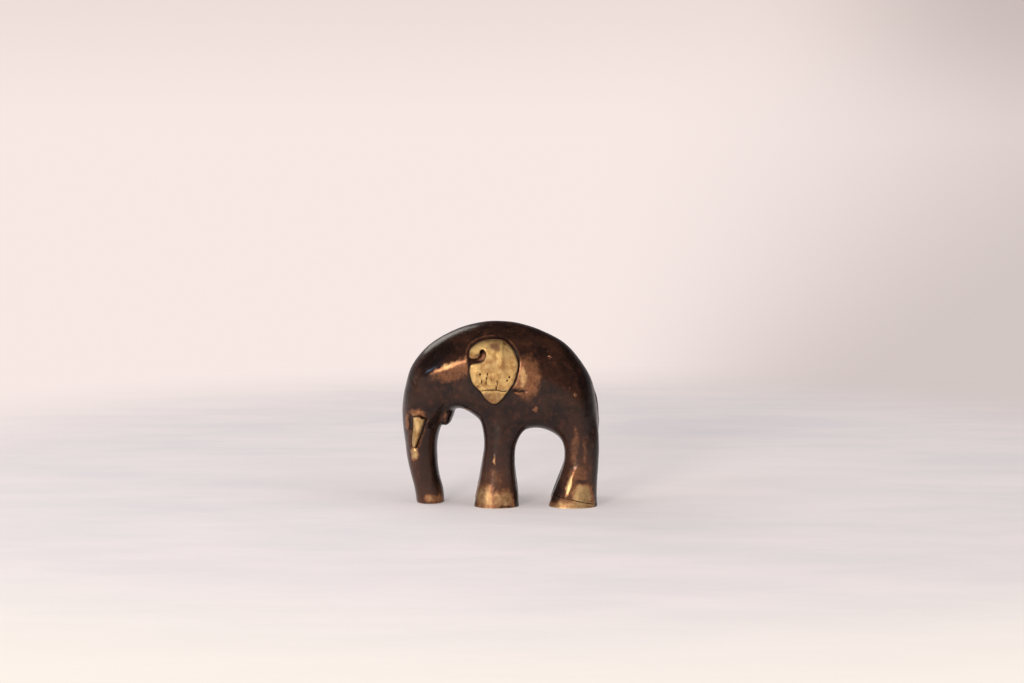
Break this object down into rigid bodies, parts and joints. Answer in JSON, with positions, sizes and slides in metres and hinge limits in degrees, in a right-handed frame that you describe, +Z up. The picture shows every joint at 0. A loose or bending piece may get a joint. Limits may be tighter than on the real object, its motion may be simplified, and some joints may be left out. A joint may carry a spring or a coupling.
{
  "type": "elephant figurine",
  "caption": "Small hollow-cast brass elephant, head bowed and trunk to the ground, dark patina, polished inlaid ears, tusks and worn feet.",
  "frame": {"origin": "centre of the figure's footprint box, on the plane that the feet stand on", "axes": "trunk points along -X, tail along +X, left side of the animal at -Y, +Z up"},
  "size_m": [0.0601, 0.0284, 0.0553],
  "materials": {
    "dark_patina": "glossy dark brown patina over brass, rubbed through to copper red and golden brass on high spots, feet and trunk tip",
    "core_clay": "baked casting clay, matt",
    "polished_brass": "hand-polished brass, finely scratched",
    "pale_brass": "bright pale brass, brushed along its length",
    "worn_brass": "brass rubbed bright, with brown stains left in hollows",
    "copper_pins": "filed flush, lightly patinated"
  },
  "bodies": {
    "root": {"body_casting": "dark_patina", "casting_core": "core_clay", "left_ear": "polished_brass", "right_ear": "polished_brass", "left_ear_lobe": "polished_brass", "right_ear_lobe": "polished_brass", "left_tusk": "pale_brass", "right_tusk": "pale_brass", "trunk_tip_plug": "worn_brass", "front_left_sole_plug": "worn_brass", "front_right_sole_plug": "worn_brass", "rear_left_sole": "worn_brass", "rear_right_sole": "worn_brass", "core_pins": "copper_pins"}
  },
  "joints": []
}
